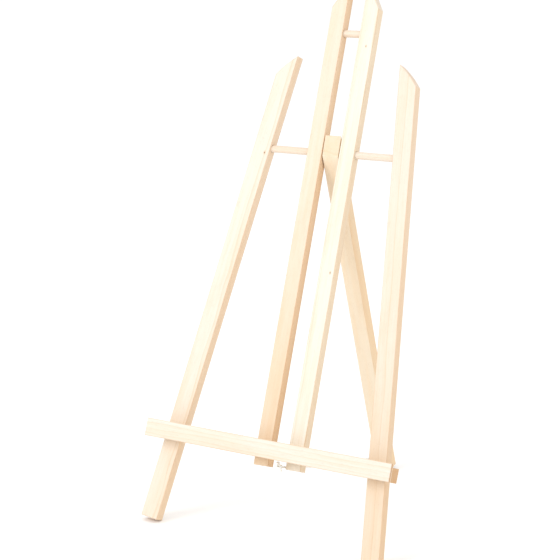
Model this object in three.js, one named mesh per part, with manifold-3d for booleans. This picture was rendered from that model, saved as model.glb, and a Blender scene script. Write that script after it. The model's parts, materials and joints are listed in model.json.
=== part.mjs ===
// A wooden display easel that stands on a table: two splayed front legs and a two-bar mast in one
// leaning plane, a ledge across their front, and a rear leg that folds on the long dowel and is
// held by a cord. Millimetres, +Z up, the front faces -Y, standing on z = 0.
//
// The front frame is built upright in its own axes and then leaned back as a whole: X across,
// Y back from the front faces of the bars, Z up along the bars from the middle of the feet.
import * as THREE from "three";
import { mergeVertices } from "three/addons/utils/BufferGeometryUtils.js";
import Module from "manifold-3d";

const wasm = await Module();
wasm.setup();

// Stock
const BAR_THICK = 12.5; // front legs and mast bars, front to back
const LEG_WIDTH = 21;
const MAST_WIDTH = 18;
const REAR_WIDTH = 19.8; // across, between the mast bars
const REAR_THICK = 14.4;
const DOWEL_R = 4;
const ARRIS = 0.5; // small chamfer on every sawn outline

// Stance
const LEAN = THREE.MathUtils.degToRad(22.5); // front frame, back from upright
const SPLAY = THREE.MathUtils.degToRad(6.8); // each front leg, in the frame's plane
const REAR_TILT = THREE.MathUtils.degToRad(16.3); // rear leg from upright when open
const MAST_TURN = THREE.MathUtils.degToRad(1.35); // mast's small sideways lean, top to the left
const SWING_SKEW = THREE.MathUtils.degToRad(1.1); // rear leg's swing, out of square with the dowel

// Front legs
const FOOT_HALF_SPAN = 137; // middle of the frame to the middle of a foot
const LEG_LENGTH = 537; // foot to the tip of the slanted top
const LEG_TOP_DROP = 25; // tip down to the outer corner
const LEG_TOP_BULGE = 1.3; // middle of the slanted top beyond a straight cut

// Mast
const MAST_GAP = 21.5; // clear space between the two bars
const PIVOT_UP = 428; // long dowel above the feet
const TOP_DOWEL_ABOVE = 135; // top dowel above the long one
const MAST_BELOW = 348; // long dowel down to the foot of the mast
const MAST_ABOVE = 193.5; // long dowel up to the tip of the slanted tops
const MAST_TOP_DROP = 30;
const TOP_STEPS = 8; // flats along a slanted top that bulges

// Ledge
const LEDGE_PAST_LEG = 13.4; // each end of the ledge beyond the leg's outer edge
const LEDGE_UP = 88; // underside above the feet
const SHELF_HEIGHT = 15.5;
const SHELF_DEPTH = 16.4;
const LIP_HEIGHT = 19.5;
const LIP_THICK = 4;

// Dowels, screws and pins
const DOWEL_GRIP = 11; // long dowel inside each front leg
const TOP_DOWEL_GRIP = 9; // short dowel inside each mast bar
const SCREW_LENGTH = 25;
const SCREW_R = 1.6;
const SCREW_HEAD_R = 3.4;
const SCREW_HEAD_DEEP = 2.4;
const SCREW_POINT = 5;
const RECESS = 1.1; // width of the cross in a screw head
const PIN_R = 0.7;
const PIN_LENGTH = 11;
const PIN_SUNK = 0.6;

// Screw eyes and cord
const EYE_R = 2.8; // middle of the wire
const EYE_WIRE = 0.7; // radius of the wire
const EYE_SHANK = 9;
const SHANK_POINT = 2;
const SHELF_EYE_SIDE = 16; // to the right of the frame's middle
const SHELF_EYE_AHEAD = 13.5; // of the bars' front faces
const REAR_EYE_ABOVE_FOOT = 22;
const CORD_R = 1.1;
const LOOP_R = 2.4;
const KNOT_R = 2.3;
const TAIL_LENGTH = 6;
const SHELF_PULL = THREE.MathUtils.degToRad(70); // cord's swing round each ring, from the shank
const REAR_PULL = THREE.MathUtils.degToRad(-27.4);

const GAP = 0.3; // between pieces that touch
const RUNNING_GAP = 0.45; // rear leg on the long dowel, loose enough for its skewed swing
const FLUSH = 0.3; // rear leg's slanted top behind the mast's front
const ROUND = 32; // sides of a round piece

// The stay cord's middle line, from the shelf's knot back to the rear leg's.
const CORD_ROUTE = [
  [15.9, -118.3, 82.8],
  [15.7, -103, 77.8],
  [15.4, -88, 73],
  [15.2, -72, 68.1],
  [14.9, -57, 63.6],
  [14.7, -41, 58.9],
  [14.4, -26, 54.7],
  [14.2, -11, 50.7],
  [13.9, 5, 46.6],
  [13.7, 20, 42.8],
  [13.4, 36, 38.9],
  [13.2, 51, 35.3],
  [12.9, 66, 32],
  [12.7, 82, 28.5],
  [12.4, 97, 25.4],
  [12.2, 112.7, 22.3],
];

const FOLD = LEAN + REAR_TILT; // open rear leg to the mast
const UP = new THREE.Vector3(0, 0, 1);

const wood = new THREE.MeshStandardMaterial({ color: 0xf0d9b5, roughness: 0.7 });
const dowelWood = new THREE.MeshStandardMaterial({ color: 0xf2dfc0, roughness: 0.65 });
const steel = new THREE.MeshStandardMaterial({ color: 0xb8b8b4, roughness: 0.35, metalness: 1 });
const cotton = new THREE.MeshStandardMaterial({ color: 0xf4f1ea, roughness: 0.9 });

// --- solids -------------------------------------------------------------------------------

function solid(geometry) {
  const bare = geometry.clone();
  bare.deleteAttribute("normal");
  bare.deleteAttribute("uv");
  const merged = mergeVertices(bare, 1e-4);
  return new wasm.Manifold(
    new wasm.Mesh({
      numProp: 3,
      vertProperties: new Float32Array(merged.attributes.position.array),
      triVerts: new Uint32Array(merged.index.array),
    }),
  );
}

function geometryOf(body) {
  const { vertProperties, triVerts } = body.getMesh();
  const geometry = new THREE.BufferGeometry();
  geometry.setAttribute("position", new THREE.BufferAttribute(vertProperties, 3));
  geometry.setIndex(new THREE.BufferAttribute(triVerts, 1));
  geometry.computeVertexNormals();
  return geometry;
}

function cut(geometry, ...tools) {
  const rest = tools.reduce((body, tool) => body.subtract(solid(tool)), solid(geometry));
  return geometryOf(rest);
}

function join(...geometries) {
  return geometryOf(geometries.map(solid).reduce((a, b) => a.add(b)));
}

function mesh(name, geometry, material) {
  const piece = new THREE.Mesh(geometry, material);
  piece.name = name;
  return piece;
}

// A board from its outline in X and Z, with its front face at y = 0.
function board(outline, thick) {
  const shape = new THREE.Shape(outline.map(([x, z]) => new THREE.Vector2(x, z)));
  const geometry = new THREE.ExtrudeGeometry(shape, {
    depth: thick - 2 * ARRIS,
    bevelEnabled: true,
    bevelSegments: 1,
    bevelThickness: ARRIS,
    bevelSize: ARRIS,
    bevelOffset: -ARRIS,
  });
  return geometry.rotateX(Math.PI / 2).translate(0, thick - ARRIS, 0);
}

// A round solid turned from a profile of [radius, distance], laid from one point towards another.
function turned(profile, from, to, sides = ROUND) {
  const points = profile.map(([r, d]) => new THREE.Vector2(r, d));
  const axis = to.clone().sub(from).normalize();
  const geometry = new THREE.LatheGeometry(points, sides).rotateX(Math.PI / 2);
  const turn = new THREE.Quaternion().setFromUnitVectors(UP, axis);
  return geometry.applyQuaternion(turn).translate(from.x, from.y, from.z);
}

function rod(from, to, radius, sides) {
  const length = from.distanceTo(to);
  return turned([[0, 0], [radius, 0], [radius, length], [0, length]], from, to, sides);
}

// A rod with a small chamfer at each end.
function dowel(from, to, radius) {
  const length = from.distanceTo(to);
  const profile = [
    [0, 0],
    [radius - ARRIS, 0],
    [radius, ARRIS],
    [radius, length - ARRIS],
    [radius - ARRIS, length],
    [0, length],
  ];
  return turned(profile, from, to);
}

// --- places in the front frame ------------------------------------------------------------

const MID = BAR_THICK / 2; // the dowels run through the middle of the bars
const MAST_HALF = MAST_GAP / 2 + MAST_WIDTH / 2; // mast's middle to a bar's middle

const onMast = new THREE.Matrix4()
  .makeTranslation(0, 0, PIVOT_UP)
  .multiply(new THREE.Matrix4().makeRotationY(-MAST_TURN));

function mastPoint(x, y, z) {
  return new THREE.Vector3(x, y, z).applyMatrix4(onMast);
}

function onLeg(side) {
  return new THREE.Matrix4()
    .makeTranslation(side * FOOT_HALF_SPAN, 0, 0)
    .multiply(new THREE.Matrix4().makeRotationY(-side * SPLAY));
}

// Middle of a front leg at a height above the feet.
function legMiddle(side, up) {
  return side * (FOOT_HALF_SPAN - up * Math.tan(SPLAY));
}

// Middle of a mast bar at a height above the feet.
function mastMiddle(side, up) {
  return mastPoint(side * MAST_HALF, 0, (up - PIVOT_UP) / Math.cos(MAST_TURN)).x;
}

const legSpan = legMiddle(1, PIVOT_UP);
const longDowelHalf = legSpan - LEG_WIDTH / 2 / Math.cos(SPLAY) + DOWEL_GRIP;
const longDowelEnds = [-1, 1].map((side) => mastPoint(side * longDowelHalf, MID, 0));
const topDowelHalf = MAST_GAP / 2 + TOP_DOWEL_GRIP;
const topDowelEnds = [-1, 1].map((side) => mastPoint(side * topDowelHalf, MID, TOP_DOWEL_ABOVE));

// A hole for a dowel, longer than it by the gap at each end.
function dowelHole([a, b], clearance) {
  const beyond = b.clone().sub(a).normalize().multiplyScalar(GAP);
  return rod(a.clone().sub(beyond), b.clone().add(beyond), DOWEL_R + clearance);
}

// Countersunk screw, from the middle of its head towards its point, grown by a clearance.
function screwBody(head, point, grow) {
  const length = head.distanceTo(point) + grow;
  const headDeep = SCREW_HEAD_DEEP + grow / 2;
  const profile = [
    [0, -grow],
    [SCREW_HEAD_R + grow, -grow],
    [SCREW_HEAD_R + grow, grow / 2],
    [SCREW_R + grow, headDeep + grow / 2],
    [SCREW_R + grow, length - SCREW_POINT],
    [0.3 + grow, length],
    [0, length],
  ];
  return turned(profile, head, point);
}

function screw(head, point) {
  const cross = [0, Math.PI / 2].map((angle) =>
    new THREE.BoxGeometry(RECESS, 2 * RECESS, 1.4 * SCREW_HEAD_R)
      .rotateY(angle + Math.PI / 4)
      .translate(head.x, head.y, head.z),
  );
  return cut(screwBody(head, point, 0), ...cross);
}

const EYE_DROP = GAP + EYE_WIRE + EYE_R; // face of the wood to the middle of a ring
const shelfEyePlace = new THREE.Vector3(SHELF_EYE_SIDE, -SHELF_EYE_AHEAD, LEDGE_UP - EYE_DROP);

const screwUp = LEDGE_UP + SHELF_HEIGHT / 2;
const screwPlaces = {
  left_leg: legMiddle(-1, screwUp),
  left_mast: mastMiddle(-1, screwUp),
  right_mast: mastMiddle(1, screwUp),
  right_leg: legMiddle(1, screwUp),
};

function screwAxis(x) {
  const head = new THREE.Vector3(x, BAR_THICK - GAP, screwUp);
  return [head, new THREE.Vector3(x, BAR_THICK - GAP - SCREW_LENGTH, screwUp)];
}

// Headless pin driven from the back through a bar into a dowel, its end a little below the face.
function pinAxis(place) {
  const start = new THREE.Vector3(place.x, BAR_THICK - PIN_SUNK, place.z);
  return [start, new THREE.Vector3(place.x, BAR_THICK - PIN_SUNK - PIN_LENGTH, place.z)];
}

function pinHole(place) {
  const [start, end] = pinAxis(place);
  const mouth = start.clone().setY(BAR_THICK + 1);
  return rod(mouth, end.clone().setY(end.y - GAP), PIN_R + GAP);
}

const dowelDirection = longDowelEnds[1].clone().sub(longDowelEnds[0]).normalize();

function alongDowels(end, inward) {
  return end.clone().addScaledVector(dowelDirection, inward);
}

const pinPlaces = {
  left_leg: alongDowels(longDowelEnds[0], DOWEL_GRIP / 2),
  right_leg: alongDowels(longDowelEnds[1], -DOWEL_GRIP / 2),
  left_mast: alongDowels(topDowelEnds[0], TOP_DOWEL_GRIP / 2),
  right_mast: alongDowels(topDowelEnds[1], -TOP_DOWEL_GRIP / 2),
};

// --- front frame --------------------------------------------------------------------------

// Slanted top of a bar, from the tip on its inner side to the corner on its outer side.
function slantedTop(side, half, tip, drop, bulge) {
  const start = new THREE.Vector2(-side * half, tip);
  const end = new THREE.Vector2(side * half, tip - drop);
  const outward = new THREE.Vector2(side * drop, 2 * half).setLength(2 * bulge);
  const bend = start.clone().lerp(end, 0.5).add(outward);
  const curve = new THREE.QuadraticBezierCurve(start, bend, end);
  return curve.getPoints(bulge > 0 ? TOP_STEPS : 1).map(({ x, y }) => [x, y]);
}

function frontLeg(side, name) {
  const half = LEG_WIDTH / 2;
  const outline = [
    [side * half, 0],
    [-side * half, 0],
    ...slantedTop(side, half, LEG_LENGTH, LEG_TOP_DROP, LEG_TOP_BULGE),
  ];
  const bar = board(outline, BAR_THICK).applyMatrix4(onLeg(side));
  const holes = [
    dowelHole(longDowelEnds, GAP),
    screwBody(...screwAxis(screwPlaces[name]), GAP),
    pinHole(pinPlaces[name]),
  ];
  return cut(bar, ...holes);
}

function mastBar(side, name) {
  const half = MAST_WIDTH / 2;
  const outline = [
    [side * half, -MAST_BELOW],
    [-side * half, -MAST_BELOW],
    ...slantedTop(side, half, MAST_ABOVE, MAST_TOP_DROP, 0),
  ];
  const bar = board(outline, BAR_THICK).translate(side * MAST_HALF, 0, 0).applyMatrix4(onMast);
  const holes = [
    dowelHole(longDowelEnds, GAP),
    dowelHole(topDowelEnds, GAP),
    screwBody(...screwAxis(screwPlaces[name]), GAP),
    pinHole(pinPlaces[name]),
  ];
  return cut(bar, ...holes);
}

function longDowel() {
  const holes = [pinHole(pinPlaces.left_leg), pinHole(pinPlaces.right_leg)];
  return cut(dowel(...longDowelEnds, DOWEL_R), ...holes);
}

function topDowel() {
  const holes = [pinHole(pinPlaces.left_mast), pinHole(pinPlaces.right_mast)];
  return cut(dowel(...topDowelEnds, DOWEL_R), ...holes);
}

function ledgeBoard(depth, height) {
  const half = legMiddle(1, LEDGE_UP) + LEG_WIDTH / 2 / Math.cos(SPLAY) + LEDGE_PAST_LEG;
  const bottom = LEDGE_UP;
  const top = LEDGE_UP + height;
  return board([[-half, bottom], [half, bottom], [half, top], [-half, top]], depth);
}

function ledgeShelf() {
  const bar = ledgeBoard(SHELF_DEPTH, SHELF_HEIGHT).translate(0, -GAP - SHELF_DEPTH, 0);
  const screws = Object.values(screwPlaces).map((x) => screwBody(...screwAxis(x), GAP));
  const below = shelfEyePlace.clone().setZ(LEDGE_UP - 1);
  const top = below.clone().setZ(LEDGE_UP + EYE_SHANK + GAP);
  return cut(bar, ...screws, rod(below, top, EYE_WIRE + GAP));
}

function ledgeLip() {
  return ledgeBoard(LIP_THICK, LIP_HEIGHT).translate(0, -2 * GAP - SHELF_DEPTH - LIP_THICK, 0);
}

// --- rear leg -----------------------------------------------------------------------------

// Built round the long dowel: X across, Z up along the leg, its back face at +Y.
function rearLeg(reach) {
  const half = REAR_THICK / 2;
  const outline = [
    [-half, -reach],
    [half, -reach],
    [half, slantHeight(half)],
    [-half, slantHeight(-half)],
  ];
  const bar = board(outline, REAR_WIDTH).rotateZ(Math.PI / 2).translate(REAR_WIDTH / 2, 0, 0);
  const across = new THREE.Vector3(REAR_WIDTH, 0, 0);
  const pivot = rod(across.clone().negate(), across, DOWEL_R + RUNNING_GAP);
  const face = new THREE.Vector3(0, -half - 1, REAR_EYE_ABOVE_FOOT - reach);
  const bottom = face.clone().setY(EYE_SHANK + GAP - half);
  return cut(bar, pivot, rod(face, bottom, EYE_WIRE + GAP));
}

// The slanted top lies parallel to the mast's front and just behind it while the leg is open.
function slantHeight(back) {
  return (MID - FLUSH + back * Math.cos(FOLD)) / Math.sin(FOLD);
}

// How far a leg hanging in its group reaches down to a floor height.
function reachToFloor(group, floor) {
  const down = new THREE.Vector3(0, 0, -1).transformDirection(group.matrixWorld);
  const corners = [-1, 1].flatMap((i) =>
    [-1, 1].map((j) => new THREE.Vector3((i * REAR_WIDTH) / 2, (j * REAR_THICK) / 2, 0)),
  );
  const heights = corners.map((corner) => corner.applyMatrix4(group.matrixWorld).z);
  return (Math.min(...heights) - floor) / -down.z;
}

// --- screw eyes and cord ends -------------------------------------------------------------
// Each is built round the middle of the eye's ring, with the shank going up into the wood.

function screwEye() {
  const ring = new THREE.TorusGeometry(EYE_R, EYE_WIRE, 10, 28).rotateY(Math.PI / 2);
  const length = EYE_WIRE + GAP + EYE_SHANK;
  const profile = [
    [0, 0],
    [EYE_WIRE, 0],
    [EYE_WIRE, length - SHANK_POINT],
    [0.2, length],
    [0, length],
  ];
  const base = new THREE.Vector3(0, 0, EYE_R);
  return join(ring, turned(profile, base, base.clone().setZ(EYE_R + length)));
}

// The cord's loop through the ring, its knot, and the cut end that hangs down from it.
function cordKnot(down) {
  const loop = new THREE.TorusGeometry(LOOP_R, CORD_R, 8, 24).rotateX(Math.PI / 2);
  const knot = new THREE.Vector3(0, 0, -EYE_R - LOOP_R - KNOT_R);
  const tailEnd = knot.clone().addScaledVector(down, TAIL_LENGTH);
  return join(
    loop.translate(0, 0, -EYE_R),
    new THREE.SphereGeometry(KNOT_R, 16, 10).translate(0, 0, knot.z),
    rod(knot, tailEnd, CORD_R, 12),
  );
}

// A screw eye with the cord tied to it, hung at a place in its parent group.
function tiedEye(parent, place, turn, pull, names) {
  const eye = new THREE.Group();
  eye.position.copy(place);
  eye.rotation.x = turn;
  const tied = new THREE.Group();
  tied.rotation.x = pull;
  parent.add(eye.add(mesh(names[0], screwEye(), steel), tied));
  parent.updateMatrixWorld(true);
  const down = UP.clone().negate().transformDirection(tied.matrixWorld.clone().invert());
  tied.add(mesh(names[1], cordKnot(down), cotton));
}

function cordTube(points) {
  const route = new THREE.CatmullRomCurve3(points.map((point) => new THREE.Vector3(...point)));
  const section = new THREE.Shape(new THREE.EllipseCurve(0, 0, CORD_R, CORD_R).getPoints(8));
  const steps = Math.round(route.getLength() / (5 * CORD_R));
  return new THREE.ExtrudeGeometry(section, { extrudePath: route, steps, curveSegments: 1 });
}

// --- the easel ----------------------------------------------------------------------------

const frame = new THREE.Group();
frame.rotation.x = -LEAN;
frame.add(
  mesh("front_leg_left", frontLeg(-1, "left_leg"), wood),
  mesh("front_leg_right", frontLeg(1, "right_leg"), wood),
);
frame.updateMatrixWorld(true);
const floor = new THREE.Box3().setFromObject(frame, true).min.z;

frame.add(
  mesh("mast_bar_left", mastBar(-1, "left_mast"), wood),
  mesh("mast_bar_right", mastBar(1, "right_mast"), wood),
  mesh("long_dowel", longDowel(), dowelWood),
  mesh("top_dowel", topDowel(), dowelWood),
  mesh("ledge_shelf", ledgeShelf(), wood),
  mesh("ledge_lip", ledgeLip(), wood),
);
for (const [name, x] of Object.entries(screwPlaces)) {
  frame.add(mesh(`ledge_screw_${name}`, screw(...screwAxis(x)), steel));
}
for (const [name, place] of Object.entries(pinPlaces)) {
  frame.add(mesh(`dowel_pin_${name}`, rod(...pinAxis(place), PIN_R), steel));
}

tiedEye(frame, shelfEyePlace, 0, SHELF_PULL, ["shelf_screw_eye", "front_cord_knot"]);

const mast = new THREE.Group();
mast.applyMatrix4(onMast);
const rear = new THREE.Group();
const swingAxis = new THREE.Vector3(Math.cos(SWING_SKEW), -Math.sin(SWING_SKEW), 0);
rear.position.y = MID;
rear.quaternion.setFromAxisAngle(swingAxis, FOLD);
frame.add(mast.add(rear));
frame.updateMatrixWorld(true);
const reach = reachToFloor(rear, floor);
rear.add(mesh("rear_leg", rearLeg(reach), wood));

const rearEyePlace = new THREE.Vector3(0, -REAR_THICK / 2 - EYE_DROP, REAR_EYE_ABOVE_FOOT - reach);
tiedEye(rear, rearEyePlace, -Math.PI / 2, REAR_PULL, ["rear_leg_screw_eye", "rear_cord_knot"]);

// Stand it on the floor with its footprint round the origin.
frame.updateMatrixWorld(true);
const box = new THREE.Box3().setFromObject(frame, true);
frame.position.set(-(box.min.x + box.max.x) / 2, -(box.min.y + box.max.y) / 2, -box.min.z);

const easel = new THREE.Group();
easel.add(frame, mesh("stay_cord", cordTube(CORD_ROUTE), cotton));

export default easel;
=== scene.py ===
"""Looks of a wooden table easel: pale sawn strip, turned dowel, zinc screws and a cotton stay cord.

Metres, +Z up, the front of the easel faces -Y. Every piece is made where it stands. A wooden piece
is a rounded copy of its frame node that keeps, at each point, its place in the board, with Z along
the grain, so that one wood recipe suits every board.
"""
import json
import math

import bmesh
import bpy
from mathutils import Matrix, Vector
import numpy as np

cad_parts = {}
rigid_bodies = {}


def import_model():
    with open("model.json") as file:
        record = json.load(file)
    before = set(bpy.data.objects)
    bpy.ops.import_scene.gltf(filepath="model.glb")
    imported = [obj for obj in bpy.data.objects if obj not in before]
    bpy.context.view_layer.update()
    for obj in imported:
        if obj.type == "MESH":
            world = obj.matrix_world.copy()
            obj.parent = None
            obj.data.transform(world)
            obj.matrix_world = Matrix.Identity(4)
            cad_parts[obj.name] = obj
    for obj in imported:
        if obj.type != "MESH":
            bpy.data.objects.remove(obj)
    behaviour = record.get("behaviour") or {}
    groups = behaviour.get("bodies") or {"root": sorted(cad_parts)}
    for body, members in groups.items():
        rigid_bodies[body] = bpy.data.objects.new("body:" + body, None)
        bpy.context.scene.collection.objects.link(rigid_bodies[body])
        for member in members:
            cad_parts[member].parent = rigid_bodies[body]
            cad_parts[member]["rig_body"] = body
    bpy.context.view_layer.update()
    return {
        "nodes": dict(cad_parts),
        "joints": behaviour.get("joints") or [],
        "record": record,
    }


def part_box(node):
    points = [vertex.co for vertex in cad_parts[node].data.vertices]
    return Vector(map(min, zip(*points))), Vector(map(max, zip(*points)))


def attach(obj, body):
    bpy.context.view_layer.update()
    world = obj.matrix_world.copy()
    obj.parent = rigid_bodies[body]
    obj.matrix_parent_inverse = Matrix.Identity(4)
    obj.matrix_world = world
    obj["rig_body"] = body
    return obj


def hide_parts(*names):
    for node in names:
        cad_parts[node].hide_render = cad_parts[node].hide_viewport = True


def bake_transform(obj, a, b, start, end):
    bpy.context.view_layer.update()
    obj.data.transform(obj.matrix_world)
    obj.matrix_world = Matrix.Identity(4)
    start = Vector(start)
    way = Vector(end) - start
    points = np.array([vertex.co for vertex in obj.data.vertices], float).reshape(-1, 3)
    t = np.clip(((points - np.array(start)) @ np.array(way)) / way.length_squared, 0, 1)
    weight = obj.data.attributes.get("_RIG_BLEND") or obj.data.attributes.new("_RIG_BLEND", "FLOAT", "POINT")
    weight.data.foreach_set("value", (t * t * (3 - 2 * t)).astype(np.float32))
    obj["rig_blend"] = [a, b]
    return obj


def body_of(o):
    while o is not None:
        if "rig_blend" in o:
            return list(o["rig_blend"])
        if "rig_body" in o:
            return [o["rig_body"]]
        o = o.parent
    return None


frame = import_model()
nodes = frame["nodes"]
MM = 0.001

# Stance of the boards, as the frame has it
SPLAY = math.radians(6.8)  # each front leg, in the front frame's plane
FOLD = math.radians(38.8)  # open rear leg to the mast
BAR_THICK = 12.5 * MM

mounts = {m["name"]: m for m in frame["record"]["mounts"]}
hinge = frame["joints"][0]
FRAME_UP = Vector(mounts["picture_rest"]["axis"]).normalized()
ACROSS = Vector((1, 0, 0))
BACK = FRAME_UP.cross(ACROSS)
SWING_AXIS = -Vector(hinge["axis"]).normalized()  # a little out of square with the mast
MAST_ACROSS = (SWING_AXIS - SWING_AXIS.project(BACK)).normalized()
MAST_UP = MAST_ACROSS.cross(BACK)
REAR_TURN = Matrix.Rotation(FOLD, 3, SWING_AXIS)
REAR_ACROSS, REAR_BACK, REAR_UP = (REAR_TURN @ d for d in (MAST_ACROSS, BACK, MAST_UP))
DOWN = Vector((0, 0, -1))

# Stay cord, from the shelf's knot back to the rear leg's
CORD_THICK = 2.2 * MM
CORD_ROUTE_MM = [
    (15.9, -118.3, 82.8),
    (15.7, -103, 77.8),
    (15.4, -88, 73),
    (15.2, -72, 68.1),
    (14.9, -57, 63.6),
    (14.7, -41, 58.9),
    (14.4, -26, 54.7),
    (14.2, -11, 50.7),
    (13.9, 5, 46.6),
    (13.7, 20, 42.8),
    (13.4, 36, 38.9),
    (13.2, 51, 35.3),
    (12.9, 66, 32),
    (12.7, 82, 28.5),
    (12.4, 97, 25.4),
    (12.2, 112.7, 22.3),
]
STRANDS = 3
STRAND_SHARE = 0.52  # a strand's thickness, as a share of the cord's
STRAND_POINTS = 6  # points round each strand of the cord's section
STRAND_SHOWS = math.radians(95)  # each way round a strand, from the side that faces out
LAY_LENGTH = 7.5 * MM  # one full twist of the cord
CORD_STEP = 0.6 * MM

# Screw eyes and the cord's tied ends
EYE_RADIUS = 2.8 * MM  # middle of the wire
EYE_WIRE = 0.7 * MM  # radius of the wire
EYE_STEM = 9.5 * MM
EYE_NECK = 1.1 * MM  # where the stem begins to turn into the ring
EYE_SIDES = 14
LOOP_RADIUS = 2.3 * MM  # cord's loop round the wire
TIGHT_CORD = 1.8 * MM  # the cord where its knot squeezes it
WRAP_RADIUS = 1.45 * MM  # middle of the wraps round the standing part
WRAP_HALF = 1.8 * MM  # half the length of the wraps
WRAPS = 2
WRAP_START = 0.7 * MM  # of cord in front of the wraps
TAIL = 2.4 * MM  # below the wraps, before its frayed threads
TAIL_POINTS = 4
TAIL_KICK = 0.3 * MM  # how far the tail's last step leans away from the eye
FRAY_LENGTH = 3 * MM
FRAYED_WIDER = 0.4  # opening of the strands at the cut
THREADS = 14
THREAD_TURN = 2.4  # radians from one thread to the next, so that they fill a disc evenly
THREAD_SIDES = 5
THREAD_RADII = (0.17 * MM, 0.14 * MM, 0.04 * MM)  # at its root, its bend and its tip
FINE_STEP = 0.35 * MM


# --- camera ---------------------------------------------------------------------------------


def place_camera():
    camera = bpy.data.objects.new("camera", bpy.data.cameras.new("camera"))
    camera.location = (1.0038, -1.8519, 0.8113)
    camera.rotation_euler = (math.radians(75.36), 0, math.radians(29.72))
    camera.data.lens = 127.0
    camera.data.sensor_width = 36
    bpy.context.collection.objects.link(camera)
    bpy.context.scene.camera = camera


# --- mesh helpers ---------------------------------------------------------------------------


def new_piece(name, bm):
    """An object of that name from a bmesh that is already in place."""
    mesh = bpy.data.meshes.new(name)
    bm.to_mesh(mesh)
    bm.free()
    piece = bpy.data.objects.new(name, mesh)
    bpy.context.collection.objects.link(piece)
    return piece


def stand_in_for(piece, node):
    """The piece takes the node's place and body."""
    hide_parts(node)
    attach(piece, body_of(nodes[node])[0])
    return piece


def smooth(points, step):
    """Points a step apart on a smooth curve through the given ones."""
    ends = [2 * points[0] - points[1], *points, 2 * points[-1] - points[-2]]
    curve = []
    for a, b, c, d in zip(ends, ends[1:], ends[2:], ends[3:]):
        stretches = max(1, round((c - b).length / step))
        for i in range(stretches):
            t = i / stretches
            slope = (c - a) * t
            bend = (2 * a - 5 * b + 4 * c - d) * t**2
            twist = (3 * b - a - 3 * c + d) * t**3
            curve.append(0.5 * (2 * b + slope + bend + twist))
    return [*curve, points[-1]]


def path_frames(path):
    """At each point of a path: the point and two sideways axes that don't spin."""
    frames = []
    side = None
    for i, point in enumerate(path):
        ahead = path[min(i + 1, len(path) - 1)] - path[max(i - 1, 0)]
        ahead.normalize()
        if side is None:
            side = ahead.orthogonal()
        side = (side - side.project(ahead)).normalized()
        frames.append((point, side, ahead.cross(side)))
    return frames


def distances(path):
    """Distance run at each point of a path."""
    runs = [0.0]
    for a, b in zip(path, path[1:]):
        runs.append(runs[-1] + (b - a).length)
    return runs


def circle(radius, sides):
    turns = [2 * math.pi * k / sides for k in range(sides)]
    return [Vector((math.cos(t), math.sin(t))) * radius for t in turns]


def add_skin(bm, path, outlines):
    """A closed skin along a path, with one outline for each of its points."""
    rings = []
    for (point, side, other), outline in zip(path_frames(path), outlines):
        rings.append([bm.verts.new(point + side * p.x + other * p.y) for p in outline])
    for ring, after in zip(rings, rings[1:]):
        for k in range(len(ring)):
            n = (k + 1) % len(ring)
            bm.faces.new((ring[k], ring[n], after[n], after[k])).smooth = True
    bm.faces.new(list(reversed(rings[0])))
    bm.faces.new(rings[-1])


def twisted_section(angle, thick):
    """Outline of a few twisted strands, turned by an angle."""
    radius = thick / 2
    strand = STRAND_SHARE * radius
    offset = radius - strand
    outline = []
    for s in range(STRANDS):
        middle = angle + 2 * math.pi * s / STRANDS
        centre = Vector((math.cos(middle), math.sin(middle))) * offset
        for k in range(STRAND_POINTS):
            turn = middle + STRAND_SHOWS * (2 * k / (STRAND_POINTS - 1) - 1)
            outline.append(centre + Vector((math.cos(turn), math.sin(turn))) * strand)
    return outline


def add_rope(bm, path, thick, opened=0.0):
    """A twisted cord along a path of close points, its strands opened towards the end."""
    runs = distances(path)
    outlines = []
    for run in runs:
        near_end = max(0, 1 - (runs[-1] - run) / FRAY_LENGTH)
        width = thick * (1 + opened * near_end**2)
        outlines.append(twisted_section(2 * math.pi * run / LAY_LENGTH, width))
    add_skin(bm, path, outlines)


def add_fray(bm, end, ahead):
    """Loose threads that fan out of a cut end."""
    side = ahead.orthogonal().normalized()
    other = ahead.cross(side)
    for k in range(THREADS):
        turn = THREAD_TURN * k
        out = math.sqrt((k + 0.5) / THREADS)
        away = side * math.cos(turn) + other * math.sin(turn)
        root = end + away * out * 0.9 * MM - ahead * 0.5 * MM
        bend = root + ahead * 1.1 * MM + away * out * 0.25 * MM
        tip = bend + ahead * (1.2 - 0.5 * out) * MM + away * out * 0.7 * MM
        add_skin(bm, [root, bend, tip], [circle(radius, THREAD_SIDES) for radius in THREAD_RADII])


# --- stay cord ------------------------------------------------------------------------------

cord_route = [Vector(p) * MM for p in CORD_ROUTE_MM]


def span(node, direction):
    """Lowest and highest of a node's points along a direction."""
    along = [v.co.dot(direction) for v in nodes[node].data.vertices]
    return min(along), max(along)


def ring_centre(node, across, shank):
    """Middle of a screw eye's ring, from the eye's own extent."""
    side = shank.cross(across)
    low = span(node, shank)[0] + EYE_RADIUS + EYE_WIRE
    return across * sum(span(node, across)) / 2 + side * sum(span(node, side)) / 2 + shank * low


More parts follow.
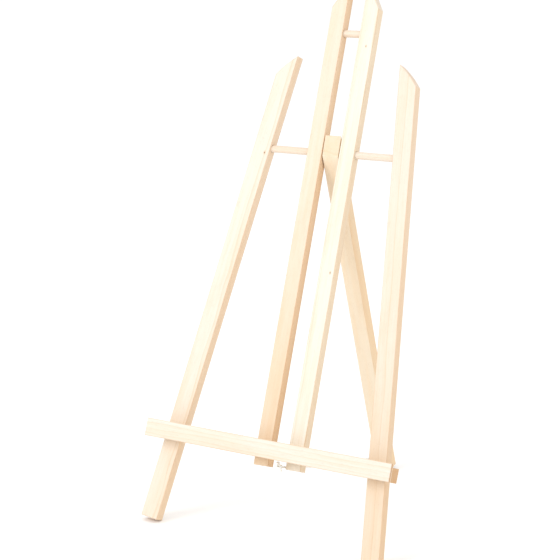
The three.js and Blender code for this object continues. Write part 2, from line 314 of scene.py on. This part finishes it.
def tied_end(name, node, ring, across, start):
    """The cord's end: in through the knot, round the eye's wire, two wraps and a cut tail."""
    pull = (start - ring).normalized()
    sideways = (across - across.project(pull)).normalized()
    other = pull.cross(sideways)
    loop = ring + pull * EYE_RADIUS
    knot = start - pull * (WRAP_HALF + WRAP_START)
    points = [start, knot, knot - pull * WRAP_HALF]
    for degrees in range(-135, 136, 30):  # round the wire, open towards the knot
        a = math.radians(degrees)
        points.append(loop + (sideways * math.sin(a) - pull * math.cos(a)) * LOOP_RADIUS)
    lowest = math.atan2(DOWN.dot(other), DOWN.dot(sideways)) % (2 * math.pi)
    last = lowest + 2 * math.pi * (WRAPS - 1)  # the wraps end on the underside
    steps = round(math.degrees(last) / 30)
    for k in range(steps + 1):
        a = last * k / steps
        along = pull * WRAP_HALF * (2 * k / steps - 1)
        points.append(knot + along + (sideways * math.cos(a) + other * math.sin(a)) * WRAP_RADIUS)
    for k in range(1, TAIL_POINTS + 1):
        kick = pull * TAIL_KICK * k / TAIL_POINTS
        points.append(points[-1] + DOWN * TAIL / TAIL_POINTS + kick)
    path = smooth(points, FINE_STEP)
    bm = bmesh.new()
    add_rope(bm, path, TIGHT_CORD, opened=FRAYED_WIDER)
    add_fray(bm, path[-1], (path[-1] - path[-4]).normalized())
    return stand_in_for(new_piece(name, bm), node)


def main_cord():
    path = smooth(cord_route, CORD_STEP)
    bm = bmesh.new()
    add_rope(bm, path, CORD_THICK)
    cord = new_piece("stay_cord_twisted", bm)
    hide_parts("stay_cord")
    start, end = tuple(cord_route[0]), tuple(cord_route[-1])
    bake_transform(cord, "front_frame", "back_strut", start=start, end=end)
    return cord


place_camera()
shelf_ring = ring_centre("shelf_screw_eye", ACROSS, FRAME_UP)
rear_ring = ring_centre("rear_leg_screw_eye", REAR_ACROSS, REAR_BACK)
tied_ends = [
    tied_end("front_cord_tied", "front_cord_knot", shelf_ring, ACROSS, cord_route[0]),
    tied_end("rear_cord_tied", "rear_cord_knot", rear_ring, REAR_ACROSS, cord_route[-1]),
]
cord = main_cord()


# --- shader node groups ---------------------------------------------------------------------


def group(name, inputs, outputs):
    """An empty node group with float, vector or colour sockets."""
    tree = bpy.data.node_groups.new(name, "ShaderNodeTree")
    for label, kind, value in inputs:
        socket = tree.interface.new_socket(label, in_out="INPUT", socket_type=f"NodeSocket{kind}")
        socket.default_value = value
    for label, kind in outputs:
        tree.interface.new_socket(label, in_out="OUTPUT", socket_type=f"NodeSocket{kind}")
    return tree, tree.nodes.new("NodeGroupInput"), tree.nodes.new("NodeGroupOutput")


def link(tree, source, target):
    tree.links.new(source, target)


def put(tree, value, socket):
    """Sets a socket to a number or colour, or links another socket to it."""
    if isinstance(value, bpy.types.NodeSocket):
        tree.links.new(value, socket)
    else:
        socket.default_value = value


def calc(tree, operation, a, b=0.0, c=0.0, clamp=False):
    node = tree.nodes.new("ShaderNodeMath")
    node.operation = operation
    node.use_clamp = clamp
    for value, socket in zip((a, b, c), node.inputs):
        put(tree, value, socket)
    return node.outputs[0]


def vector_calc(tree, operation, a, b=(0, 0, 0)):
    node = tree.nodes.new("ShaderNodeVectorMath")
    node.operation = operation
    put(tree, a, node.inputs[0])
    put(tree, b, node.inputs[1])
    return node.outputs["Value" if operation in ("LENGTH", "DOT_PRODUCT") else "Vector"]


def fade(tree, value, low, high, out_low=0.0, out_high=1.0):
    """A smooth ramp of a value from one range to another."""
    node = tree.nodes.new("ShaderNodeMapRange")
    node.interpolation_type = "SMOOTHSTEP"
    for v, label in (
        (value, "Value"),
        (low, "From Min"),
        (high, "From Max"),
        (out_low, "To Min"),
        (out_high, "To Max"),
    ):
        put(tree, v, node.inputs[label])
    return node.outputs["Result"]


def blend_colour(tree, amount, a, b, kind="MIX"):
    node = tree.nodes.new("ShaderNodeMix")
    node.data_type = "RGBA"
    node.blend_type = kind
    put(tree, amount, node.inputs["Factor"])
    put(tree, a, node.inputs["A"])
    put(tree, b, node.inputs["B"])
    return node.outputs["Result"]


def cloud(tree, place, scale, detail=2.0, rough=0.5):
    """Soft noise from 0 to 1, its scale in blotches per metre."""
    node = tree.nodes.new("ShaderNodeTexNoise")
    put(tree, place, node.inputs["Vector"])
    put(tree, scale, node.inputs["Scale"])
    node.inputs["Detail"].default_value = detail
    node.inputs["Roughness"].default_value = rough
    return node.outputs["Fac"]


def stretch(tree, place, by):
    """The place with each axis scaled: a small share makes a pattern long that way."""
    return vector_calc(tree, "MULTIPLY", place, by)


def growth_rings():
    """Yearly rings round a pith that lies beside the piece, wandering along the grain."""
    tree, inside, outside = group(
        "growth rings",
        [
            ("Place", "Vector", (0, 0, 0)),
            ("Pith", "Vector", (0.03, 0.05, 0)),
            ("Ring width", "Float", 0.0022),
            ("Wander", "Float", 0.0012),
        ],
        [("Late wood", "Float"), ("Rings apart", "Float")],
    )
    place = vector_calc(tree, "SUBTRACT", inside.outputs["Place"], inside.outputs["Pith"])
    slow = stretch(tree, place, (1, 1, 0.12))
    sway = calc(tree, "SUBTRACT", cloud(tree, slow, 22.0, 2.0), 0.5)
    ripple = calc(tree, "SUBTRACT", cloud(tree, slow, 160.0, 1.0), 0.5)
    across = vector_calc(tree, "LENGTH", stretch(tree, place, (1, 1, 0)))
    sway = calc(tree, "MULTIPLY", sway, calc(tree, "MULTIPLY", inside.outputs["Wander"], 6.0))
    ripple = calc(tree, "MULTIPLY", ripple, calc(tree, "MULTIPLY", inside.outputs["Wander"], 2.8))
    moved = calc(tree, "ADD", sway, ripple)
    count = calc(tree, "DIVIDE", calc(tree, "ADD", across, moved), inside.outputs["Ring width"])
    year = calc(tree, "FRACT", count)
    rise = fade(tree, year, 0.35, 0.9)
    fall = fade(tree, year, 0.93, 1.0, 1.0, 0.0)
    years = calc(tree, "FLOOR", count)
    white = tree.nodes.new("ShaderNodeTexWhiteNoise")
    white.noise_dimensions = "1D"
    link(tree, years, white.inputs["W"])
    each_year = white.outputs["Value"]
    ring = calc(tree, "MULTIPLY", calc(tree, "MULTIPLY", rise, fall), fade(tree, each_year, 0.1, 0.9))
    link(tree, ring, outside.inputs["Late wood"])
    link(tree, each_year, outside.inputs["Rings apart"])
    return tree


def wood_fibre():
    """Fine streaks, open pores and broad soft patches, all long along the grain."""
    tree, inside, outside = group(
        "wood fibre",
        [("Place", "Vector", (0, 0, 0))],
        [("Streaks", "Float"), ("Pores", "Float"), ("Patches", "Float")],
    )
    place = inside.outputs["Place"]
    streak = cloud(tree, stretch(tree, place, (1, 1, 0.02)), 2600.0, 3.0, 0.6)
    link(tree, fade(tree, streak, 0.3, 0.7), outside.inputs["Streaks"])
    pore = cloud(tree, stretch(tree, place, (1, 1, 0.06)), 3800.0, 1.0)
    link(tree, fade(tree, pore, 0.66, 0.74), outside.inputs["Pores"])
    broad = cloud(tree, stretch(tree, place, (1, 1, 0.07)), 130.0, 2.0, 0.55)
    link(tree, fade(tree, broad, 0.38, 0.62), outside.inputs["Patches"])
    return tree


def handled():
    """Where hands and shelves have worn a piece: its arrises, and soft patches of grime."""
    tree, inside, outside = group(
        "handled",
        [
            ("Place", "Vector", (0, 0, 0)),
            ("Arris", "Float", 0.0),
            ("Patch size", "Float", 0.03),
        ],
        [("Worn arris", "Float"), ("Grime", "Float")],
    )
    scale = calc(tree, "DIVIDE", 1.0, inside.outputs["Patch size"])
    patch = cloud(tree, inside.outputs["Place"], scale, 3.0, 0.6)
    worn = calc(tree, "MULTIPLY", inside.outputs["Arris"], fade(tree, patch, 0.35, 0.65))
    link(tree, worn, outside.inputs["Worn arris"])
    wide = cloud(tree, stretch(tree, inside.outputs["Place"], (1, 1, 0.4)), scale, 4.0, 0.7)
    link(tree, fade(tree, wide, 0.5, 0.8), outside.inputs["Grime"])
    return tree


def pin_knot():
    """A tiny dark knot: a core, and the tight ring of grain that parts round it."""
    tree, inside, outside = group(
        "pin knot",
        [("Place", "Vector", (0, 0, 0)), ("Centre", "Vector", (0, 0, 0)), ("Size", "Float", 0.001)],
        [("Core", "Float"), ("Halo", "Float")],
    )
    away = vector_calc(tree, "SUBTRACT", inside.outputs["Place"], inside.outputs["Centre"])
    away = stretch(tree, away, (1, 0.6, 0.6))
    distance = calc(tree, "DIVIDE", vector_calc(tree, "LENGTH", away), inside.outputs["Size"])
    rough_edge = calc(tree, "SUBTRACT", cloud(tree, inside.outputs["Place"], 1500.0), 0.5)
    distance = calc(tree, "ADD", distance, calc(tree, "MULTIPLY", rough_edge, 0.6))
    link(tree, fade(tree, distance, 0.5, 0.85, 1.0, 0.0), outside.inputs["Core"])
    link(tree, fade(tree, distance, 0.8, 2.6, 1.0, 0.0), outside.inputs["Halo"])
    return tree


RINGS = growth_rings()
FIBRE = wood_fibre()
HANDLED = handled()
PIN_KNOT = pin_knot()


# --- materials ------------------------------------------------------------------------------


def start_material(name):
    material = bpy.data.materials.new(name)
    material.use_nodes = True
    tree = material.node_tree
    shader = tree.nodes["Principled BSDF"]
    return material, tree, shader


def use(tree, what, **values):
    """Places a node group with its own values, and gives its outputs."""
    node = tree.nodes.new("ShaderNodeGroup")
    node.node_tree = what
    for label, value in values.items():
        put(tree, value, node.inputs[label.replace("_", " ")])
    return node.outputs


def bump(tree, shader, height, depth):
    node = tree.nodes.new("ShaderNodeBump")
    node.inputs["Distance"].default_value = depth
    link(tree, height, node.inputs["Height"])
    link(tree, node.outputs["Normal"], shader.inputs["Normal"])


def attribute(tree, name):
    """Something that was written on the mesh when the piece was made."""
    node = tree.nodes.new("ShaderNodeAttribute")
    node.attribute_name = name
    return node.outputs


def deepen(tree, amount, mask, colour, by):
    """The colour, multiplied by another as far as a mask says."""
    return blend_colour(tree, calc(tree, "MULTIPLY", mask, amount), colour, (*by, 1), "MULTIPLY")


# Each is a share of the board's own tone
SIDE_FACE_SHADE = (0.95, 0.845, 0.72)  # painted shade on the band-sawn side faces: deeper and warmer than the planed faces, where less light falls
PINK_PATCH = (1.0, 0.955, 0.90)
LATE_WOOD = (0.84, 0.70, 0.50)
# a darker year's tone, and also the painted shade towards a board's lower end
DARKER_YEAR_AND_FOOT_SHADE = (0.92, 0.84, 0.72)
STREAK = (0.90, 0.82, 0.70)
PORE = (0.62, 0.48, 0.36)
SAWN_END = (0.72, 0.52, 0.36)
WORN_ARRIS = (0.84, 0.74, 0.62)
GRIME = (0.66, 0.58, 0.50)
KNOT_HALO = (0.86, 0.64, 0.40)
KNOT_CORE = (0.22, 0.12, 0.07)


def pale_wood(name, tone, pith, ring_width=2.2 * MM, figure=0.3, foot_shade=0.0, knots=()):
    """Planed pale strip with a clear matt finish.

    figure is how strongly the grain shows, foot_shade how much painted shade darkens the board towards its
    lower end, below the ledge.
    """
    material, tree, shader = start_material(name)
    place = attribute(tree, "in_the_wood")["Vector"]
    sawn = attribute(tree, "sawn_end")["Fac"]
    # painted shade for faces that look across the board, read from the mesh
    side_shade = attribute(tree, "side_face_shade")["Fac"]
    rings = use(tree, RINGS, Place=place, Pith=pith, Ring_width=ring_width)
    fibre = use(tree, FIBRE, Place=place)
    wear = use(tree, HANDLED, Place=place, Arris=attribute(tree, "arris")["Fac"])

    # painted shade: side faces darkened and warmed
    colour = deepen(tree, 1.0, side_shade, (*tone, 1), SIDE_FACE_SHADE)
    colour = deepen(tree, 0.8, fibre["Patches"], colour, PINK_PATCH)
    up = vector_calc(tree, "DOT_PRODUCT", place, (0, 0, 1))
    # painted shade: darker towards the board's lower end, standing in for the shade under the ledge
    colour = deepen(tree, foot_shade, fade(tree, up, 0.1, -0.26), colour, DARKER_YEAR_AND_FOOT_SHADE)
    colour = deepen(tree, figure, rings["Late wood"], colour, LATE_WOOD)
    colour = deepen(tree, figure, rings["Rings apart"], colour, DARKER_YEAR_AND_FOOT_SHADE)
    colour = deepen(tree, 0.25, fibre["Streaks"], colour, STREAK)
    colour = deepen(tree, 0.3, fibre["Pores"], colour, PORE)
    colour = deepen(tree, 1.0, sawn, colour, SAWN_END)
    colour = deepen(tree, 0.14, wear["Grime"], colour, GRIME)
    colour = deepen(tree, 0.5, wear["Worn arris"], colour, WORN_ARRIS)
    for centre, size in knots:
        knot = use(tree, PIN_KNOT, Place=place, Centre=centre, Size=size)
        colour = deepen(tree, 0.5, knot["Halo"], colour, KNOT_HALO)
        colour = deepen(tree, 0.9, knot["Core"], colour, KNOT_CORE)
    link(tree, colour, shader.inputs["Base Color"])

    gloss = calc(tree, "SUBTRACT", 0.62, calc(tree, "MULTIPLY", wear["Worn arris"], 0.12))
    gloss = calc(tree, "ADD", gloss, calc(tree, "MULTIPLY", fibre["Streaks"], 0.08))
    gloss = calc(tree, "ADD", gloss, calc(tree, "MULTIPLY", sawn, 0.2), clamp=True)
    link(tree, gloss, shader.inputs["Roughness"])
    shader.inputs["Specular IOR Level"].default_value = 0.35

    height = calc(tree, "MULTIPLY", rings["Late wood"], 0.5)
    height = calc(tree, "ADD", height, calc(tree, "MULTIPLY", fibre["Streaks"], 0.35))
    height = calc(tree, "SUBTRACT", height, calc(tree, "MULTIPLY", fibre["Pores"], 0.6))
    saw = cloud(tree, stretch(tree, place, (1, 0.05, 1)), 1800.0)
    sawn_marks = calc(tree, "MULTIPLY", calc(tree, "ADD", sawn, side_shade), saw)
    height = calc(tree, "ADD", height, calc(tree, "MULTIPLY", sawn_marks, 0.8))
    bump(tree, shader, height, 0.08 * MM)
    return material


def zinc():
    """Bright zinc plate on steel, a little dulled."""
    material, tree, shader = start_material("zinc plated steel")
    place = tree.nodes.new("ShaderNodeTexCoord").outputs["Object"]
    wear = use(tree, HANDLED, Place=place, Patch_size=4 * MM)
    grain = cloud(tree, place, 2500.0, 3.0)
    colour = blend_colour(tree, wear["Grime"], (0.86, 0.86, 0.84, 1), (0.66, 0.65, 0.61, 1))
    link(tree, colour, shader.inputs["Base Color"])
    shader.inputs["Metallic"].default_value = 1.0
    link(tree, fade(tree, grain, 0.2, 0.8, 0.24, 0.42), shader.inputs["Roughness"])
    bump(tree, shader, grain, 0.02 * MM)
    return material


def cotton():
    """Undyed cotton cord: soft twist, fine fuzz, slightly soiled in soft patches."""
    material, tree, shader = start_material("cotton cord")
    place = tree.nodes.new("ShaderNodeTexCoord").outputs["Object"]
    fuzz = cloud(tree, place, 4200.0, 3.0, 0.7)
    patch = cloud(tree, place, 90.0, 3.0)
    colour = blend_colour(tree, fuzz, (0.78, 0.75, 0.69, 1), (0.93, 0.92, 0.88, 1))
    soiled = calc(tree, "MULTIPLY", fade(tree, patch, 0.5, 0.75), 0.35)
    colour = blend_colour(tree, soiled, colour, (0.66, 0.61, 0.53, 1))
    link(tree, colour, shader.inputs["Base Color"])
    shader.inputs["Roughness"].default_value = 0.92
    shader.inputs["Sheen Weight"].default_value = 0.3
    shader.inputs["Sheen Roughness"].default_value = 0.5
    bump(tree, shader, fuzz, 0.12 * MM)
    return material


# --- wooden pieces --------------------------------------------------------------------------


def axes(across, back, along, node):
    """A place in the middle of a node whose X, Y and Z are those directions."""
    low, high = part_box(node)
    turn = Matrix((across, back, along)).transposed()
    return Matrix.Translation((low + high) / 2) @ turn.to_4x4()


def leg_axes(side, node):
    turn = Matrix.Rotation(-side * SPLAY, 3, BACK)
    return axes(turn @ ACROSS, BACK, turn @ FRAME_UP, node)


def mast_axes(node):
    return axes(MAST_ACROSS, BACK, MAST_UP, node)


def rear_leg_axes(node):
    return axes(REAR_ACROSS, REAR_BACK, REAR_UP, node)


def ledge_axes(node):
    return axes(FRAME_UP, -BACK, ACROSS, node)


def dowel_axes(node):
    return axes(BACK, MAST_UP, MAST_ACROSS, node)


ROUNDING = 0.35 * MM  # softening of each small chamfer
LONG_EDGE = 2 * MM
SHARP = math.radians(25)
ACROSS_GRAIN = 0.45  # a face whose normal leans this far along the grain was sawn across it
SQUARE_END = 0.9
SLANTED_END = 0.2  # how much of the square end's dark grain a slanted cut shows
DOWEL_SIDE_SHADE = 0.3  # how much of the side faces' painted shade a dowel has all round
SQUARE_SIDE = 0.97  # a side whose normal has less than this across either face is an arris


def rounded_copy(node, place):
    """The node's solid in its own axes, with every long edge softened."""
    bm = bmesh.new()
    bm.from_mesh(nodes[node].data)
    bmesh.ops.transform(bm, matrix=place.inverted(), verts=bm.verts)
    bmesh.ops.remove_doubles(bm, verts=bm.verts, dist=0.005 * MM)
    bmesh.ops.dissolve_limit(bm, angle_limit=math.radians(1), verts=bm.verts, edges=bm.edges)
    bm.normal_update()
    edges = [
        e
        for e in bm.edges
        if e.is_manifold and e.calc_length() > LONG_EDGE and e.calc_face_angle() > SHARP
    ]
    bmesh.ops.bevel(
        bm,
        geom=edges,
        offset=ROUNDING,
        segments=2,
        profile=0.5,
        affect="EDGES",
        clamp_overlap=False,
    )
    bm.normal_update()
    return bm


def finish_of_face(normal, flat):
    """How much of a sawn end, of painted side shade and of an arris a face has, from its normal in the
    board.
    """
    along = abs(normal.z)
    if along > ACROSS_GRAIN:
        return (1.0 if along > SQUARE_END else SLANTED_END), 0.0, 0.0
    if not flat:
        # a dowel gets a little of the painted side shade all round
        return 0.0, DOWEL_SIDE_SHADE, 0.0
    square = max(abs(normal.x), abs(normal.y))
    # painted shade: as much as the face looks across the board
    return 0.0, abs(normal.x), (1.0 if square < SQUARE_SIDE else 0.0)


def mark_board(piece, flat):
    """Writes each point's place in the board, what kind of face each face is, and its painted side shade."""
    mesh = piece.data
    places = [c for vertex in mesh.vertices for c in vertex.co]
    mesh.attributes.new("in_the_wood", "FLOAT_VECTOR", "POINT").data.foreach_set("vector", places)
    names = ("sawn_end", "side_face_shade", "arris")
    values = [[] for _ in names]
    for polygon in mesh.polygons:
        for row, value in zip(values, finish_of_face(polygon.normal, flat)):
            row.extend([value] * polygon.loop_total)
    for name, row in zip(names, values):
        mesh.attributes.new(name, "FLOAT", "CORNER").data.foreach_set("value", row)


def wooden(node, place, material, slot="pale_wood"):
    piece = new_piece(f"{node}_wood", rounded_copy(node, place))
    mark_board(piece, slot == "pale_wood")
    piece.data.transform(place)
    piece.data.materials.append(material)
    return stand_in_for(piece, node)


def spot(place, across, up):
    """A point of the front frame's face in a board's axes, from the hinge, in millimetres."""
    point = Vector(hinge["pos_m"]) - BACK * BAR_THICK / 2
    point += (ACROSS * across + FRAME_UP * up) * MM
    return tuple(place.inverted() @ point)


def woodwork():
    leg = leg_axes(-1, "front_leg_left")
    knot = (spot(leg, -81.5, -8), 0.8 * MM)
    tone = (0.80, 0.725, 0.645)
    wood = pale_wood("left leg wood", tone, (0.03, 0.045, 0), foot_shade=0.3, knots=[knot])
    wooden("front_leg_left", leg, wood)

    leg = leg_axes(1, "front_leg_right")
    tone = (0.79, 0.70, 0.61)
    wood = pale_wood("right leg wood", tone, (-0.06, 0.02, 0), 2.6 * MM, foot_shade=0.7)
    wooden("front_leg_right", leg, wood)

    bar = mast_axes("mast_bar_left")
    tone = (0.80, 0.69, 0.58)
    wood = pale_wood("left mast wood", tone, (-0.02, -0.07, 0), 3.1 * MM, figure=0.4, foot_shade=0.8)
    wooden("mast_bar_left", bar, wood)

    bar = mast_axes("mast_bar_right")
    knots = [(spot(bar, 18.2, 121), 0.6 * MM), (spot(bar, 27.4, -131), 0.7 * MM)]
    tone = (0.80, 0.755, 0.675)
    wood = pale_wood("right mast wood", tone, (0.05, -0.03, 0), 2.4 * MM, knots=knots)
    wooden("mast_bar_right", bar, wood)

    tone = (0.82, 0.72, 0.575)
    wood = pale_wood("rear leg wood", tone, (0.015, 0.08, 0), 3.4 * MM, figure=0.22)
    wooden("rear_leg", rear_leg_axes("rear_leg"), wood)

    tone = (0.85, 0.76, 0.625)
    wood = pale_wood("shelf wood", tone, (0.03, -0.04, 0), 2.1 * MM)
    wooden("ledge_shelf", ledge_axes("ledge_shelf"), wood)

    tone = (0.79, 0.715, 0.635)
    wood = pale_wood("lip wood", tone, (-0.05, 0.006, 0), 2.8 * MM, figure=0.2)
    wooden("ledge_lip", ledge_axes("ledge_lip"), wood)

    tone = (0.79, 0.715, 0.64)
    for node, pith in (("long_dowel", (0.02, 0.03, 0)), ("top_dowel", (-0.03, 0.01, 0))):
        wood = pale_wood(f"{node} wood", tone, pith, figure=0.12)
        wooden(node, dowel_axes(node), wood, "dowel_wood")


# --- metal ----------------------------------------------------------------------------------


def wire_eye(name, node, ring, across, shank):
    """A screw eye of bent wire: its stem, and a ring that stops just short of it."""
    side = shank.cross(across)
    points = [ring + shank * (EYE_RADIUS + h) for h in (EYE_STEM, EYE_STEM / 2, EYE_NECK)]
    for degrees in range(28, 335, 18):  # round from the stem to just short of it
        a = math.radians(degrees)
        points.append(ring + (side * math.sin(a) + shank * math.cos(a)) * EYE_RADIUS)
    path = smooth(points, FINE_STEP)
    runs = distances(path)
    outlines = []
    for run in runs:
        from_tip = min(1, (runs[-1] - run) / EYE_WIRE)
        radius = EYE_WIRE * math.sqrt(1 - (1 - from_tip) ** 2 * 0.9)
        outlines.append(circle(radius, EYE_SIDES))
    bm = bmesh.new()
    add_skin(bm, path, outlines)
    return stand_in_for(new_piece(name, bm), node)


def metalwork(material):
    eyes = [
        wire_eye("shelf_eye_wire", "shelf_screw_eye", shelf_ring, ACROSS, FRAME_UP),
        wire_eye("rear_eye_wire", "rear_leg_screw_eye", rear_ring, REAR_ACROSS, REAR_BACK),
    ]
    for eye in eyes:
        eye.data.materials.append(material)
    for node, cad in nodes.items():
        if "ledge_screw" in node or "dowel_pin" in node:
            cad.data.materials.clear()
            cad.data.materials.append(material)


woodwork()
metalwork(zinc())
cord_material = cotton()
for piece in (cord, *tied_ends):
    piece.data.materials.append(cord_material)


# --- floor and light ------------------------------------------------------------------------


FLOOR_REACH = 8  # each way from the easel


def white_floor():
    bm = bmesh.new()
    bmesh.ops.create_grid(bm, x_segments=1, y_segments=1, size=FLOOR_REACH)
    floor = new_piece("floor", bm)
    material, tree, shader = start_material("white paper")
    place = tree.nodes.new("ShaderNodeTexCoord").outputs["Object"]
    tone = cloud(tree, place, 3.0)
    colour = blend_colour(tree, tone, (0.93, 0.93, 0.93, 1), (0.95, 0.95, 0.95, 1))
    link(tree, colour, shader.inputs["Base Color"])
    shader.inputs["Roughness"].default_value = 0.9
    floor.data.materials.append(material)


def soft_light(name, place, aim, size, power, colour=(1, 1, 1)):
    """A square soft box at a place, turned to its aim."""
    lamp = bpy.data.lights.new(name, "AREA")
    lamp.shape = "SQUARE"
    lamp.size = size
    lamp.energy = power
    lamp.color = colour
    light = bpy.data.objects.new(name, lamp)
    light.location = place
    direction = Vector(aim) - Vector(place)
    light.rotation_euler = direction.to_track_quat("-Z", "Y").to_euler()
    bpy.context.collection.objects.link(light)


def studio():
    """An almost shadowless white room, a little brighter from the front left."""
    world = bpy.data.worlds.new("white room")
    world.use_nodes = True
    world.node_tree.nodes["Background"].inputs["Color"].default_value = (1, 1, 1, 1)
    world.node_tree.nodes["Background"].inputs["Strength"].default_value = 1.08
    bpy.context.scene.world = world
    bpy.context.scene.view_settings.view_transform = "Standard"
    soft_light("key", (-1.6, -2.6, 2.2), (0, 0, 0.25), 1.6, 40, (1.0, 0.99, 0.96))
    soft_light("fill", (2.6, -1.2, 1.4), (0, 0, 0.3), 2.0, 12)


white_floor()
studio()
